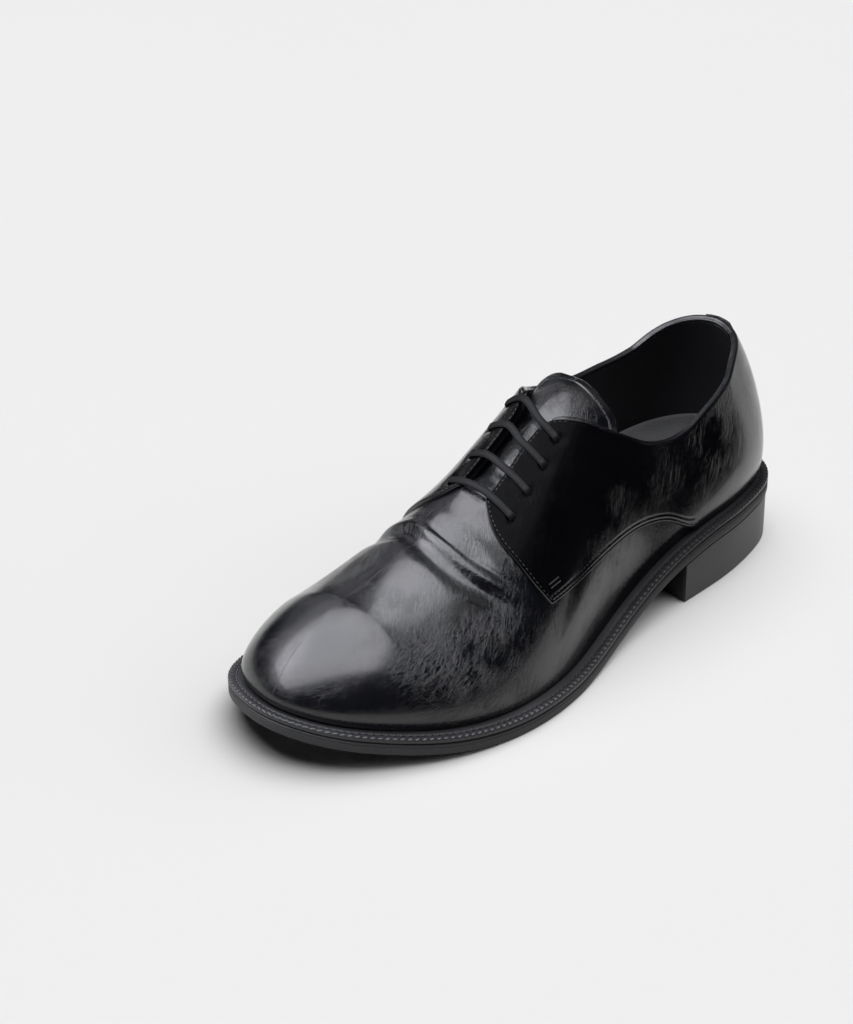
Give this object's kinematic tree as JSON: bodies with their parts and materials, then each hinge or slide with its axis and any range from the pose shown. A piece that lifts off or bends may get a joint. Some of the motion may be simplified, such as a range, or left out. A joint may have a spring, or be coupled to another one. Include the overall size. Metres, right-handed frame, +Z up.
{
  "type": "derby shoe",
  "caption": "Plain-toe lace-up derby shoe with open lacing quarters, toothed welt, curved outsole and a low block heel.",
  "frame": {"origin": "centre of the shoe's extent at floor level", "axes": "+Y towards the heel, -Y towards the toe, +X towards the outer side of the foot, +Z up"},
  "size_m": [0.1189, 0.3, 0.1054],
  "materials": {
    "upper_leather": "smooth, polished to a soft shine",
    "sole_rubber": "matte",
    "heel_block": "satin",
    "welt_strip": "waxed, toothed edge",
    "sock_lining": "brushed, matte",
    "lace_cord": "waxed cotton, flat and ribbed"
  },
  "bodies": {
    "root": {"outsole": "sole_rubber", "heel": "heel_block", "welt": "welt_strip", "insole": "sock_lining", "upper": "upper_leather", "quarter_outer": "upper_leather", "quarter_inner": "upper_leather", "backstay": "upper_leather", "collar_binding": "upper_leather", "tongue": "upper_leather", "lace_1": "lace_cord", "lace_2": "lace_cord", "lace_3": "lace_cord", "lace_4": "lace_cord"}
  },
  "joints": []
}
